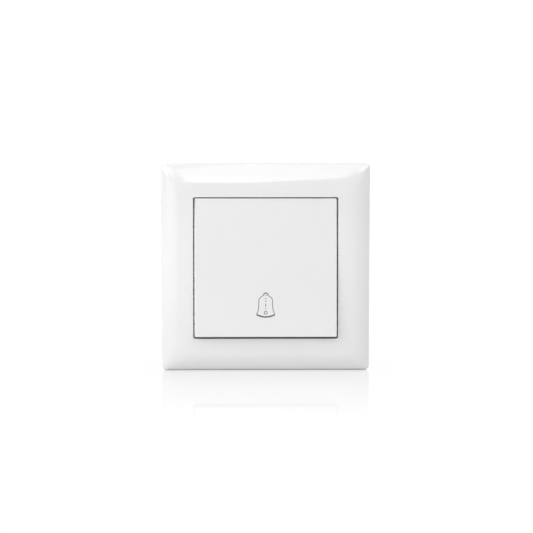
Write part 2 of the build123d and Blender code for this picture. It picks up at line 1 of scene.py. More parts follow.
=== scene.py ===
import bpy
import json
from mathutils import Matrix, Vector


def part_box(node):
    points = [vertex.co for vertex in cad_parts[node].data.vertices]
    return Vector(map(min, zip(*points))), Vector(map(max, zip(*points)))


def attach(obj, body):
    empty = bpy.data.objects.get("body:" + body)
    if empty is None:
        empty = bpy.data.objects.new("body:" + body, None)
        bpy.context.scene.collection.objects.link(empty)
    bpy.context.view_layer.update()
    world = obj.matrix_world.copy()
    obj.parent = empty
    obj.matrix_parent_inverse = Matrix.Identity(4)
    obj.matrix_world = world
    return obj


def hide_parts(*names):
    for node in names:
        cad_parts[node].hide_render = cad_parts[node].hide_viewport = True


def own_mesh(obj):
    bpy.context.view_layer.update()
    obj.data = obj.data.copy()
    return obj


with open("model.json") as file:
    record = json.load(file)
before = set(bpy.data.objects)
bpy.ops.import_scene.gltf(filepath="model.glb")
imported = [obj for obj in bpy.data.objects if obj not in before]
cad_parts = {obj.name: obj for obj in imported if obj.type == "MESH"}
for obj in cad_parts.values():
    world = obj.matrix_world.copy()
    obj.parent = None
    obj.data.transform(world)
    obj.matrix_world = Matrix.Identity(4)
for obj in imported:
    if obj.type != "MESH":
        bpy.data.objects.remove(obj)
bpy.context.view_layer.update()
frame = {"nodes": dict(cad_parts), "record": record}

import json
from math import asin, cos, pi, radians, sin, tan

import bmesh
import bpy
from mathutils import Matrix, Vector

# A white doorbell switch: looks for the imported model, in metres and in its frame.
# X runs to the right, Y into the wall and Z up. A level is a distance in front of the wall plane.
MM = 0.001

# Cover frame
FRAME_WALL = 1.9 * MM
RIM_CORNER_RADIUS = 1.9 * MM
CROWN_CORNER_RADIUS = 5.2 * MM
RIM_EDGE_RADIUS = 0.8 * MM
CROWN_RADIUS = 11.0 * MM
RIM_SLOPE = radians(44)
LAND_SLOPE = radians(4)
WINDOW_WIDTH = 55.9 * MM
WINDOW_HEIGHT = 54.8 * MM
WINDOW_CORNER_RADIUS = 0.5 * MM
WINDOW_EDGE_RADIUS = 0.1 * MM
COLLAR_WALL = 1.5 * MM
COLLAR_DEPTH = 5.0 * MM
BACK_EDGE_RADIUS = 0.25 * MM
HOOK_X = 15.0 * MM
HOOK_WIDTH = 5.0 * MM
HOOK_THICKNESS = 1.3 * MM
HOOK_BITE = 0.8 * MM
HOOK_LIP = 1.2 * MM
HOOK_TIP = 2.0 * MM
HOOK_CLEARANCE = 0.15 * MM

# Rocker plate
ROCKER_FRONT = 9.8 * MM
ROCKER_WALL = 2.0 * MM
ROCKER_SIDE_GAP = 0.5 * MM
ROCKER_RUNNING_GAP = 0.27 * MM
ROCKER_CORNER_RADIUS = 0.6 * MM
ROCKER_EDGE_RADIUS = 0.4 * MM
SKIRT_DEPTH = 5.0 * MM
SKIRT_WALL = 1.5 * MM
SKIRT_CORNER_RADIUS = 0.3 * MM
SKIRT_EDGE_RADIUS = 0.15 * MM
RIB_WIDTH = 1.2 * MM
RIB_HEIGHT = 1.0 * MM
RIB_X = 9.0 * MM
RIB_Z = 20.0 * MM
LEG_X = 7.0 * MM
LEG_WIDTH = 4.0 * MM
LEG_THICKNESS = 1.4 * MM
LEG_BITE = 0.7 * MM
LEG_LIP = 1.0 * MM
LEG_CLEARANCE = 0.1 * MM
CRADLE_HEIGHT = 27.0 * MM
CRADLE_THICKNESS = 2.0 * MM
SINK = 0.1 * MM

# Bell sign, printed on the rocker plate, with its outline, dots and dashes in millimetres
SIGN_Z = -18.1 * MM
SIGN_LINE = 0.27 * MM
SIGN_RIM_LINE = 0.6 * MM
SIGN_INK = 0.015 * MM
SIGN_RIM_DROP = 0.93 * MM
SIGN_RIM_STEPS = 24
SIGN_BODY = (
    (3.55, 0.05), (3.4, 0.4), (3.1, 1.0), (2.86, 1.7), (2.68, 3.2), (2.62, 5.0), (2.55, 6.1),
    (1.85, 6.8), (0.8, 7.5),
)
SIGN_KNOB_WIDTH = 0.82 * MM
SIGN_KNOB_LOW = 7.5 * MM
SIGN_KNOB_HEIGHT = 0.85 * MM
SIGN_KNOB_LINE = 0.42 * MM
SIGN_DOT_LINE = 0.42 * MM
SIGN_DOT_LENGTH = 0.36
SIGN_DOTS = (7.45, 6.25, 5.15)
SIGN_DASHES = ((4.2, 3.0), (2.4, 2.0))
SIGN_CLAPPER_HEIGHT = 0.7 * MM
SIGN_CLAPPER_LINE = 0.28 * MM
SIGN_CLAPPER_RADIUS = 0.55 * MM
CURVE_STEPS = 24
CORNER_CUTS = 3
CORNER_CUT_SHARES = (0.25, 0.75)

# Screws, rivets and return spring. The thread's crest is sharp with a flank of 1 and flat above that.
# The rivet head's edge is the share of its height that stands straight.
THREAD_PITCH = 0.5 * MM
THREAD_DEPTH = 0.27 * MM
THREAD_FLANK = 1.3
THREAD_ROWS = 8
THREAD_SIDES = 32
DRIVER_SLOT_WIDTH = 0.9 * MM
DRIVER_SLOT_DEPTH = 1.1 * MM
HEAD_EDGE = 0.16 * MM
HEAD_STEPS = 20
CLAW_SCREW_X = 23.0 * MM
CLAW_SCREW_RADIUS = 1.5 * MM
CLAW_HEAD_RADIUS = 2.75 * MM
CLAW_HEAD_HEIGHT = 2.0 * MM
TERMINAL_X = 6.0 * MM
TERMINAL_Y = 14.0 * MM
TERMINAL_SCREW_RADIUS = 1.5 * MM
TERMINAL_HEAD_RADIUS = 2.5 * MM
TERMINAL_HEAD_HEIGHT = 1.9 * MM
RIVETS = ((15.5 * MM, 18.5 * MM), (-15.5 * MM, -18.5 * MM))
RIVET_RADIUS = 1.25 * MM
RIVET_HEAD_RADIUS = 2.1 * MM
RIVET_HEAD_HEIGHT = 0.6 * MM
RIVET_HEAD_EDGE = 0.3
RIVET_BORE_RADIUS = 0.75 * MM
PLATE_THICKNESS = 1.0 * MM
FLANGE_THICKNESS = 3.0 * MM
SPRING_Z = -6.0 * MM
SPRING_RADIUS = 2.3 * MM
SPRING_WIRE_RADIUS = 0.3 * MM
SPRING_TURNS = 3
SPRING_END_RISE = 2.2 * SPRING_WIRE_RADIUS
SPRING_TURN_STEPS = 36
SPRING_WIRE_SIDES = 12

# What gives way when the rocker is pressed
LEAF_NODES = ("moving_contact", "moving_contact_tip")

# How finely the meshes are divided, and what counts as a sharp edge
CORNER_STEPS = 18
SIDE_STEPS = 30
ARC_STEPS = 6
CROWN_STEPS = 24
LAND_STEPS = 12
LATHE_STEPS = 40
BEVEL_SEGMENTS = 3
BEVEL_ANGLE = radians(30)
SHARP_ANGLE = radians(40)
FLAT_ANGLE = radians(0.5)
WELD = 0.001 * MM

# Edge rounding of the pieces that keep their CAD shape
EDGE_RADII = {
    "rocker_cradle": 0.2 * MM,
    "mechanism_cover": 0.2 * MM,
    "mechanism_base": 0.25 * MM,
    "mounting_plate": 0.12 * MM,
    "moving_contact": 0.06 * MM,
    "moving_contact_tip": 0.3 * MM,
    "fixed_contact": 0.1 * MM,
    "fixed_contact_tip": 0.3 * MM,
    "terminal_cage_line": 0.2 * MM,
    "terminal_cage_bell": 0.2 * MM,
    "claw_left": 0.1 * MM,
    "claw_right": 0.1 * MM,
    "claw_nut_left": 0.25 * MM,
    "claw_nut_right": 0.25 * MM,
}

# White plastic, with painted shade darkening its gaps by how open a place is within a reach.
# A scale is in spots a metre, and a spread holds factors on the roughness.
WHITE_TONE = (0.80, 0.80, 0.80)
WHITE_IOR = 1.68
FRAME_ROUGHNESS = 0.06
PLATE_ROUGHNESS = 0.12
FLOW_SCALE = 60
FLOW_SHADE = 0.985
GLOSS_SCALE = 400
GLOSS_SPREAD = (0.9, 1.15)
RIPPLE_SCALE = 900
RIPPLE_DEPTH = 0.001 * MM
RIPPLE_STRENGTH = 0.3
# Painted shade: how far the occlusion looks, the openness range it spans, and its darkest tone
PAINTED_SHADE_REACH = 2.0 * MM
PAINTED_SHADE_RANGE = (0.1, 0.6)
PAINTED_SHADE_TONE = (0.08, 0.08, 0.08)

# Metals, with fine marks and broad patches: dark and light tone, roughness, and how the marks are drawn out
METALS = {
    "zinc_steel": ((0.50, 0.52, 0.55), (0.76, 0.77, 0.77), 0.3, (0.04, 1, 1)),
    "screw_steel": ((0.52, 0.51, 0.46), (0.74, 0.73, 0.69), 0.26, (1, 0.3, 1)),
    "spring_steel": ((0.34, 0.34, 0.36), (0.56, 0.56, 0.57), 0.28, (1, 1, 1)),
    "contact_brass": ((0.60, 0.40, 0.15), (0.82, 0.64, 0.34), 0.27, (1, 1, 0.06)),
    "contact_silver": ((0.72, 0.71, 0.68), (0.91, 0.91, 0.90), 0.22, (1, 1, 1)),
}
MARK_SCALE = 2600
MARK_DETAIL = 4.0
MARK_RANGE = (0.3, 0.7)
MARK_GLOSS_SPREAD = (0.7, 1.35)
MARK_DEPTH = 0.008 * MM
MARK_STRENGTH = 0.5
PATCH_SCALE = 140
PATCH_RANGE = (0.12, 0.4)

# Matte plastics with a spark-eroded grain: tone and roughness
MATTE_PLASTICS = {
    "white_satin": ((0.74, 0.74, 0.72), 0.45),
    "grey_matte": ((0.42, 0.43, 0.44), 0.5),
}
GRAIN_IOR = 1.5
GRAIN_SCALE = 3500
GRAIN_DETAIL = 3.0
GRAIN_GLOSS_SPREAD = (0.85, 1.15)
GRAIN_DEPTH = 0.03 * MM
GRAIN_STRENGTH = 0.5
CLOUD_SCALE = 120
CLOUD_SHADE = 0.9

# Printed ink
INK_THIN_TONE = (0.15, 0.15, 0.15)
INK_FULL_TONE = (0.09, 0.09, 0.09)
INK_SCALE = 2500
INK_GLOSS_SCALE = 4000
INK_ROUGHNESS = (0.4, 0.6)

# Studio
FLOOR_SIZE = 8.0
FLOOR_GLOW = 1.02
FLOOR_MIRROR = 0.33
FLOOR_MIRROR_REACH = 0.12
FLOOR_MIRROR_SIDE = 0.04
FLOOR_MIRROR_ROUGHNESS = 0.03
FLOOR_GLOSS_RANGE = (0.2, 0.8)
SKY_RADIUS = 3.9
SKY_LUMINANCE = 1.02
SKY_LOW = radians(-6)
SKY_STEPS = 12
BACKDROP_DISTANCE = 2.0
BACKDROP_WIDTH = 1.0
BACKDROP_HEIGHT = 0.5
BACKDROP_LUMINANCE = 1.15
DOME_RADIUS = 0.9
STRIP_AZIMUTHS = (radians(-9), radians(0))
STRIP_LOW = radians(6.9)
STRIP_HIGH = radians(88)
STRIP_LUMINANCE = 2.95
STRIP_TOP_LUMINANCE = 1.42
STRIP_FADE_HEIGHTS = (0.11, 0.65)
STRIP_END_AZIMUTHS = (radians(0), radians(9))
STRIP_END_LOW = radians(36)
LEFT_CARD_AZIMUTHS = (radians(-66), radians(-30))
LEFT_CARD_RADIUS = 0.24
LEFT_CARD_LOW = radians(-9.3)
LEFT_CARD_HIGH = radians(9)
LEFT_CARD_LUMINANCE = 1.2
# Plain panels on the dome: two azimuths and two elevations in degrees, and the luminance
PANELS = {
    "key_panel": (-82, -44, 12, 50, 4.5),
    "left_panel": (-42, -23, 20, 50, 1.4),
    "right_panel": (24, 86, 26, 50, 2.6),
    "right_card": (23, 90, -2.3, 7, 0.6),
    "top_left_panel": (-90, -9, 50, 84, 0.34),
    "top_right_panel": (9, 90, 50, 84, 1.2),
    "back_panel": (-175, -105, 18, 58, 1.2),
}
PANEL_STEPS = 12
ONE_FACE = [(0, 1, 2, 3)]
WORLD_LUMINANCE = 0.42
BOUNCE_TONE = 0.62
BOUNCE_GLOW = 0.155
BOUNCE_DROP = 0.5 * MM

# Camera, fitted to the photograph
CAMERA_DISTANCE = 0.7
CAMERA_AZIMUTH = radians(-0.57)
CAMERA_ELEVATION = radians(5.73)
CAMERA_LENS = 121.0
CAMERA_SENSOR = 36.0
CAMERA_NEAR = 0.01
CAMERA_AIM = Vector((0.41 * MM, 0.0, -0.235 * MM))

record = frame["record"]
body_of_node = {node: body for body, nodes in record["behaviour"]["bodies"].items() for node in nodes}
slot_of_node = {entry["node"]: entry["material_slot"] for entry in record["subparts"]}
rocker_press = next(joint for joint in record["behaviour"]["joints"] if joint["name"] == "rocker_press")

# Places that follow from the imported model
frame_low, frame_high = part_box("cover_frame")
FRAME_HALF_WIDTH = (frame_high.x - frame_low.x) / 2
FRAME_HALF_HEIGHT = (frame_high.z - frame_low.z) / 2
FRAME_DEPTH = -frame_low.y
FLOOR_LEVEL = frame_low.z
PIVOT = Vector(rocker_press["pos_m"])
REST_TILT = radians(rocker_press["range_deg"][1] / 2)
REST = Matrix.Translation(PIVOT) @ Matrix.Rotation(-REST_TILT, 4, "X") @ Matrix.Translation(-PIVOT)


def blend(first, last, share):
    return first + (last - first) * share


def lift(u, v, w):
    """A point at x = u and z = v, at a level w in front of the wall."""
    return Vector((u, -w, v))


def placed(shape, place):
    points, faces = shape
    return [place(*point) for point in points], faces


def joined(*shapes):
    """Several shapes as one list of points and one of faces."""
    points, faces = [], []
    for more_points, more_faces in shapes:
        faces += [tuple(i + len(points) for i in face) for face in more_faces]
        points += more_points
    return points, faces


def to_bmesh(shape):
    points, faces = shape
    mesh = bmesh.new()
    corners = [mesh.verts.new(point) for point in points]
    for face in faces:
        mesh.faces.new([corners[i] for i in face])
    bmesh.ops.recalc_face_normals(mesh, faces=mesh.faces)
    return mesh


def from_bmesh(mesh):
    mesh.verts.index_update()
    shape = [v.co.copy() for v in mesh.verts], [tuple(v.index for v in face.verts) for face in mesh.faces]
    mesh.free()
    return shape


def bevelled(shape, width):
    """A closed shape with its sharp edges rounded."""
    mesh = to_bmesh(shape)
    sharp = [edge for edge in mesh.edges if edge.calc_face_angle(0) > BEVEL_ANGLE]
    bmesh.ops.bevel(
        mesh, geom=sharp, offset=width, offset_type="OFFSET", segments=BEVEL_SEGMENTS, profile=0.5,
        affect="EDGES", clamp_overlap=True,
    )
    return from_bmesh(mesh)


def add_mesh(name, shape, material):
    """A smooth-shaded object with sharp edges kept."""
    mesh = bpy.data.meshes.new(name)
    closed = to_bmesh(shape)
    closed.to_mesh(mesh)
    closed.free()
    mesh.shade_smooth()
    mesh.set_sharp_from_angle(angle=SHARP_ANGLE)
    mesh.materials.append(material)
    thing = bpy.data.objects.new(name, mesh)
    bpy.context.scene.collection.objects.link(thing)
    return thing


def add_piece(node, shape, material, weighted=True):
    """A detailed piece in place of a CAD node, on the node's body."""
    piece = add_mesh(node + "_detailed", shape, material)
    if weighted:
        piece.modifiers.new("even_shading", "WEIGHTED_NORMAL").keep_sharp = True
    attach(piece, body_of_node[node])
    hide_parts(node)
    return piece


def ring_skin(rings, closed):
    """A skin over rings of equal length, joined end to end when closed and capped otherwise."""
    count = len(rings[0])
    points = [point for ring in rings for point in ring]
    faces = []
    for i in range(len(rings) if closed else len(rings) - 1):
        j = (i + 1) % len(rings)
        for k in range(count):
            m = (k + 1) % count
            faces.append((i * count + k, i * count + m, j * count + m, j * count + k))
    if not closed:
        faces.append(tuple(range(count)))
        faces.append(tuple(range(len(points) - count, len(points))))
    return points, faces


def prism(outline, low, high):
    """A straight bar: an outline in u and v, carried from low to high in w."""
    return ring_skin([[(u, v, w) for u, v in outline] for w in (low, high)], closed=False)


def turned(profile):
    """A closed turned shape about w, from rings of radius and height, capped at both ends."""
    angles = [2 * pi * step / LATHE_STEPS for step in range(LATHE_STEPS)]
    return ring_skin([[(r * cos(a), r * sin(a), w) for a in angles] for r, w in profile], closed=False)


def box_outline(u, v, width, height):
    half_width, half_height = width / 2, height / 2
    return [
        (u - half_width, v - half_height), (u + half_width, v - half_height),
        (u + half_width, v + half_height), (u - half_width, v + half_height),
    ]


def rounded_ring(half_width, half_height, radius, level):
    """A rounded rectangle at a level, with the same number of points whatever its size."""
    corners = []
    for turn, (side_x, side_z) in enumerate(((1, 1), (-1, 1), (-1, -1), (1, -1))):
        x, z = side_x * (half_width - radius), side_z * (half_height - radius)
        angles = [pi / 2 * (turn + step / CORNER_STEPS) for step in range(CORNER_STEPS + 1)]
        corners.append([(x + radius * cos(a), z + radius * sin(a)) for a in angles])
    ring = []
    for corner, following in zip(corners, corners[1:] + corners[:1]):
        ring += corner
        start, end = corner[-1], following[0]
        for step in range(1, SIDE_STEPS):
            share = step / SIDE_STEPS
            ring.append((blend(start[0], end[0], share), blend(start[1], end[1], share)))
    return [lift(x, z, level) for x, z in ring]


def frame_rings():
    """Rings of the cover frame, from the back of its rim over the crowned front to the hollow behind it."""
    rim_run = RIM_EDGE_RADIUS * (1 - sin(RIM_SLOPE))
    rim_rise = RIM_EDGE_RADIUS * cos(RIM_SLOPE)
    crown_run = CROWN_RADIUS * (sin(RIM_SLOPE) - sin(LAND_SLOPE))
    crown_rise = CROWN_RADIUS * (cos(LAND_SLOPE) - cos(RIM_SLOPE))
    crown_x = FRAME_HALF_WIDTH - rim_run - crown_run
    crown_z = FRAME_HALF_HEIGHT - rim_run - crown_run
    window_x, window_z = WINDOW_WIDTH / 2, WINDOW_HEIGHT / 2
    land_rise = (crown_x - window_x) * tan(LAND_SLOPE / 2)
    crown_top = FRAME_DEPTH - land_rise
    crown_low = crown_top - crown_rise
    rim_low = crown_low - rim_rise
    rings = []

    def inset_ring(inset, level, radius):
        rings.append(rounded_ring(FRAME_HALF_WIDTH - inset, FRAME_HALF_HEIGHT - inset, radius, level))

    def window_ring(outset, level, radius):
        rings.append(rounded_ring(window_x + outset, window_z + outset, radius, level))

    for step in range(ARC_STEPS + 1):
        a = pi / 2 * step / ARC_STEPS
        inset_ring(BACK_EDGE_RADIUS * (1 - sin(a)), BACK_EDGE_RADIUS * (1 - cos(a)), RIM_CORNER_RADIUS)
    for step in range(ARC_STEPS + 1):
        slope = blend(pi / 2, RIM_SLOPE, step / ARC_STEPS)
        inset = RIM_EDGE_RADIUS * (1 - sin(slope))
        inset_ring(inset, rim_low + RIM_EDGE_RADIUS * cos(slope), RIM_CORNER_RADIUS)
    for step in range(1, CROWN_STEPS + 1):
        slope = blend(RIM_SLOPE, LAND_SLOPE, step / CROWN_STEPS)
        run = CROWN_RADIUS * (sin(RIM_SLOPE) - sin(slope))
        level = crown_low + CROWN_RADIUS * (cos(slope) - cos(RIM_SLOPE))
        inset_ring(rim_run + run, level, blend(RIM_CORNER_RADIUS, CROWN_CORNER_RADIUS, run / crown_run))
    for step in range(1, LAND_STEPS + 1):
        share = step / LAND_STEPS
        level = crown_top + land_rise * (1 - (1 - share) ** 2)
        radius = blend(CROWN_CORNER_RADIUS, WINDOW_CORNER_RADIUS + WINDOW_EDGE_RADIUS, share)
        half_x = blend(crown_x, window_x + WINDOW_EDGE_RADIUS, share)
        half_z = blend(crown_z, window_z + WINDOW_EDGE_RADIUS, share)
        rings.append(rounded_ring(half_x, half_z, radius, level))
    for step in range(1, ARC_STEPS + 1):
        a = pi / 2 * step / ARC_STEPS
        outset = WINDOW_EDGE_RADIUS * (1 - sin(a))
        window_ring(outset, FRAME_DEPTH - WINDOW_EDGE_RADIUS * (1 - cos(a)), WINDOW_CORNER_RADIUS + outset)
    collar_low = FRAME_DEPTH - COLLAR_DEPTH
    hollow_top = crown_top - FRAME_WALL
    hollow_radius = crown_run + FRAME_WALL
    window_ring(0, collar_low, WINDOW_CORNER_RADIUS)
    window_ring(COLLAR_WALL, collar_low, WINDOW_CORNER_RADIUS + COLLAR_WALL)
    window_ring(COLLAR_WALL, hollow_top, WINDOW_CORNER_RADIUS + COLLAR_WALL)
    inset_ring(FRAME_WALL + crown_run, hollow_top, FRAME_WALL)
    inset_ring(FRAME_WALL, hollow_top - crown_rise, hollow_radius)
    inset_ring(FRAME_WALL, 0, hollow_radius)
    return rings


def barb(side, inner, thickness, bite, root, catch, tip):
    """Outline in z and level of a finger whose tooth points back towards the middle."""
    outer, tooth = inner + thickness, inner - bite
    points = [
        (outer, root), (outer, tip), (inner, tip),
        (tooth, (tip + catch) / 2), (tooth, catch),
        (inner, catch), (inner, root),
    ]
    return [(side * z, level) for z, level in points]


def across(outline, x, width):
    """An outline in z and level, carried across a width in X about x."""
    return placed(prism(outline, x - width / 2, x + width / 2), lambda z, level, at: Vector((at, -level, z)))


def make_cover_frame():
    shapes = [ring_skin(frame_rings(), closed=True)]
    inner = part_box("mounting_plate")[1].z + HOOK_CLEARANCE
    root = FRAME_DEPTH - FRAME_WALL
    for side in (-1, 1):
        outline = barb(side, inner, HOOK_THICKNESS, HOOK_BITE, root, HOOK_TIP + HOOK_LIP, HOOK_TIP)
        shapes += [bevelled(across(outline, x, HOOK_WIDTH), SKIRT_EDGE_RADIUS) for x in (-HOOK_X, HOOK_X)]
    return joined(*shapes)


def make_rocker_plate():
    end_gap = (ROCKER_FRONT + PIVOT.y) * sin(REST_TILT) + ROCKER_RUNNING_GAP
    half_x = WINDOW_WIDTH / 2 - ROCKER_SIDE_GAP
    half_z = WINDOW_HEIGHT / 2 - end_gap
    back = ROCKER_FRONT - ROCKER_WALL
    skirt_back = ROCKER_FRONT - SKIRT_DEPTH
    rib_back = back - RIB_HEIGHT
    rings = []

    def ring(inset, level, radius):
        rings.append(rounded_ring(half_x - inset, half_z - inset, radius, level))

    ring(2 * ROCKER_EDGE_RADIUS, ROCKER_FRONT, ROCKER_CORNER_RADIUS)
    for step in range(ARC_STEPS + 1):
        a = pi / 2 * step / ARC_STEPS
        inset = ROCKER_EDGE_RADIUS * (1 - sin(a))
        ring(inset, ROCKER_FRONT - ROCKER_EDGE_RADIUS * (1 - cos(a)), ROCKER_CORNER_RADIUS - inset)
    for step in range(ARC_STEPS + 1):
        a = pi / 2 * step / ARC_STEPS
        inset = SKIRT_EDGE_RADIUS * (1 - cos(a))
        ring(inset, skirt_back + SKIRT_EDGE_RADIUS * (1 - sin(a)), ROCKER_CORNER_RADIUS - inset)
    ring(SKIRT_WALL, skirt_back, SKIRT_CORNER_RADIUS)
    ring(SKIRT_WALL, back, SKIRT_CORNER_RADIUS)
    shapes = [ring_skin(rings, closed=False)]
    for side in (-1, 1):
        upright = box_outline(side * RIB_X, 0, RIB_WIDTH, 2 * (half_z - SKIRT_WALL + SINK))
        crosswise = box_outline(0, side * RIB_Z, 2 * (half_x - SKIRT_WALL + SINK), RIB_WIDTH)
        shapes += [placed(prism(outline, rib_back, back + SINK), lift) for outline in (upright, crosswise)]
        catch = rib_back - CRADLE_THICKNESS - LEG_CLEARANCE
        inner = CRADLE_HEIGHT / 2 + LEG_CLEARANCE
        outline = barb(side, inner, LEG_THICKNESS, LEG_BITE, back + SINK, catch, catch - LEG_LIP)
        shapes += [bevelled(across(outline, x, LEG_WIDTH), SKIRT_EDGE_RADIUS) for x in (-LEG_X, LEG_X)]
    points, faces = joined(*shapes)
    return [REST @ point for point in points], faces


def thread(radius, low, high):
    """A right-hand thread about w between two heights, with a bevelled tip at its low end."""
    rows = round((high - low) / THREAD_PITCH * THREAD_ROWS)
    rings = []
    for row in range(rows + 1):
        w = blend(low, high, row / rows)
        ring = []
        for step in range(THREAD_SIDES):
            angle = 2 * pi * step / THREAD_SIDES
            phase = (w / THREAD_PITCH - step / THREAD_SIDES) % 1
            crest = min(1, THREAD_FLANK * (1 - abs(2 * phase - 1)))
            r = min(radius - THREAD_DEPTH * (1 - crest), radius - 2 * THREAD_DEPTH + (w - low))
            ring.append((r * cos(angle), r * sin(angle), w))
        rings.append(ring)
    return ring_skin(rings, closed=False)


def slotted_head(radius, height):
    """A round head on w = 0 with a straight driver slot along u and softened edges."""
    slot_angle = asin(DRIVER_SLOT_WIDTH / 2 / radius)
    floor = height - DRIVER_SLOT_DEPTH
    points, faces, seat, floor_edge = [], [], [], []

    def point(angle, w):
        points.append((radius * cos(angle), radius * sin(angle), w))
        return len(points) - 1

    for turn in (0, pi):
        arc = [blend(slot_angle, pi - slot_angle, step / HEAD_STEPS) + turn for step in range(HEAD_STEPS + 1)]
        low = [point(a, 0) for a in arc]
        top = [point(a, height) for a in arc]
        ends = [point(arc[0], floor), point(arc[-1], floor)]
        for i in range(HEAD_STEPS):
            face = [low[i], low[i + 1], top[i + 1], top[i]]
            if i == HEAD_STEPS - 1:
                face.insert(2, ends[1])
            if i == 0:
                face.append(ends[0])
            faces.append(face)
        faces.append(top)
        faces.append([top[0], top[-1], ends[1], ends[0]])
        seat += low
        floor_edge += ends
    half = len(seat) // 2
    faces.append(seat)
    faces.append(floor_edge)
    faces.append([seat[half - 1], seat[half], floor_edge[2], floor_edge[1]])
    faces.append([seat[-1], seat[0], floor_edge[0], floor_edge[3]])
    return bevelled((points, faces), HEAD_EDGE)


def make_screw(radius, length, head_radius, head_height):
    """A slotted screw about w, with its seat at w = 0."""
    return joined(thread(radius, -length, SINK), slotted_head(head_radius, head_height))


def make_rivet():
    """A rivet about w, from its rolled tail behind the flange to its domed head on the plate."""
    front = PLATE_THICKNESS + RIVET_HEAD_HEIGHT
    tail = -FLANGE_THICKNESS - RIVET_HEAD_HEIGHT
    profile = [(RIVET_BORE_RADIUS, tail + RIVET_HEAD_HEIGHT)]
    middle = (RIVET_BORE_RADIUS + RIVET_HEAD_RADIUS) / 2
    roll = RIVET_HEAD_RADIUS - middle
    for step in range(2 * ARC_STEPS + 1):
        a = pi * step / (2 * ARC_STEPS)
        profile.append((middle - roll * cos(a), tail + RIVET_HEAD_HEIGHT * (1 - sin(a))))
    profile.append((RIVET_RADIUS, -FLANGE_THICKNESS))
    profile.append((RIVET_RADIUS, PLATE_THICKNESS))
    profile.append((RIVET_HEAD_RADIUS, PLATE_THICKNESS))
    for step in range(2 * ARC_STEPS):
        a = pi / 2 * step / (2 * ARC_STEPS)
        rise = blend(RIVET_HEAD_EDGE, 1, sin(a))
        profile.append((RIVET_HEAD_RADIUS * cos(a), blend(PLATE_THICKNESS, front, rise)))
    return turned(profile)


def make_spring():
    """A coil of round wire from the well's floor to the cradle, with its ends closed."""
    low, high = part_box("return_spring")
    bottom = -high.y + SPRING_WIRE_RADIUS
    top = -low.y - SPRING_WIRE_RADIUS
    turns = SPRING_TURNS + 2
    rings = []
    for step in range(turns * SPRING_TURN_STEPS + 1):
        turn = step / SPRING_TURN_STEPS
        share = min(max((turn - 1) / SPRING_TURNS, 0), 1)
        ends = SPRING_END_RISE * (min(turn, 1) + max(turn - turns + 1, 0))
        level = bottom + ends + (top - bottom - 2 * SPRING_END_RISE) * share
        angle = 2 * pi * turn
        ring = []
        for side in range(SPRING_WIRE_SIDES):
            a = 2 * pi * side / SPRING_WIRE_SIDES
            r = SPRING_RADIUS + SPRING_WIRE_RADIUS * cos(a)
            ring.append(lift(r * cos(angle), SPRING_Z + r * sin(angle), level + SPRING_WIRE_RADIUS * sin(a)))
        rings.append(ring)
    return ring_skin(rings, closed=False)


def node_shape(node):
    """A CAD node's shape, with each flat area as one face."""
    mesh = bmesh.new()
    mesh.from_mesh(frame["nodes"][node].data)
    bmesh.ops.remove_doubles(mesh, verts=mesh.verts, dist=WELD)
    bmesh.ops.dissolve_limit(mesh, angle_limit=FLAT_ANGLE, verts=mesh.verts, edges=mesh.edges)
    return from_bmesh(mesh)


def stroke(path, width, closed=False):
    """A flat printed line along a path in u and v, with its ink's thickness in w."""
    left, right = [], []
    count = len(path)
    for i, point in enumerate(path):
        before = path[i - 1] if i or closed else point
        after = path[(i + 1) % count] if i < count - 1 or closed else point
        along = (Vector(after) - Vector(before)).normalized()
        aside = Vector((-along.y, along.x)) * width / 2
        left.append(Vector(point) + aside)
        right.append(Vector(point) - aside)
    points, faces = [], []
    for a, b in zip(left, right):
        points += [(a.x, a.y, 0), (b.x, b.y, 0), (b.x, b.y, SIGN_INK), (a.x, a.y, SIGN_INK)]
    for i in range(count if closed else count - 1):
        j = (i + 1) % count
        for k in range(4):
            m = (k + 1) % 4
            faces.append((4 * i + k, 4 * i + m, 4 * j + m, 4 * j + k))
    if not closed:
        faces += [(0, 1, 2, 3), tuple(4 * (count - 1) + k for k in range(4))]
    return points, faces


def smooth_path(points):
    """A path through points in millimetres, rounded by cutting its corners several times."""
    path = [Vector(p) * MM for p in points]
    for _ in range(CORNER_CUTS):
        cut = [path[0]]
        for a, b in zip(path, path[1:]):
            cut += [a.lerp(b, share) for share in CORNER_CUT_SHARES]
        path = cut + [path[-1]]
    return path


def make_sign():
    """A plain bell sign: its outline, knob, rim, and a clapper on a line of dots and dashes."""
    half = smooth_path(SIGN_BODY)
    rim_x = SIGN_BODY[0][0] * MM
    across_rim = [2 * step / SIGN_RIM_STEPS - 1 for step in range(SIGN_RIM_STEPS + 1)]
    rim = [Vector((rim_x * t, -SIGN_RIM_DROP * (1 - t * t))) for t in across_rim]
    half_turn = [pi * step / CURVE_STEPS for step in range(CURVE_STEPS + 1)]
    knob = [(SIGN_KNOB_WIDTH * cos(a), SIGN_KNOB_LOW + SIGN_KNOB_HEIGHT * sin(a)) for a in half_turn]
    full_turn = [2 * pi * step / CURVE_STEPS for step in range(CURVE_STEPS)]
    ring = [Vector((cos(a), sin(a))) * SIGN_CLAPPER_RADIUS for a in full_turn]
    clapper = [point + Vector((0, SIGN_CLAPPER_HEIGHT)) for point in ring]
    shapes = [
        stroke(half, SIGN_LINE),
        stroke([Vector((-p.x, p.y)) for p in half], SIGN_LINE),
        stroke(knob, SIGN_KNOB_LINE),
        stroke(rim, SIGN_RIM_LINE),
        stroke(clapper, SIGN_CLAPPER_LINE, closed=True),
    ]
    for start, end in SIGN_DASHES:
        shapes.append(stroke([Vector((0, start * MM)), Vector((0, end * MM))], SIGN_LINE))
    for middle in SIGN_DOTS:
        ends = middle - SIGN_DOT_LENGTH / 2, middle + SIGN_DOT_LENGTH / 2
        shapes.append(stroke([Vector((0, end * MM)) for end in ends], SIGN_DOT_LINE))
    points, faces = joined(*shapes)
    return [REST @ lift(u, SIGN_Z + v, ROCKER_FRONT + w) for u, v, w in points], faces


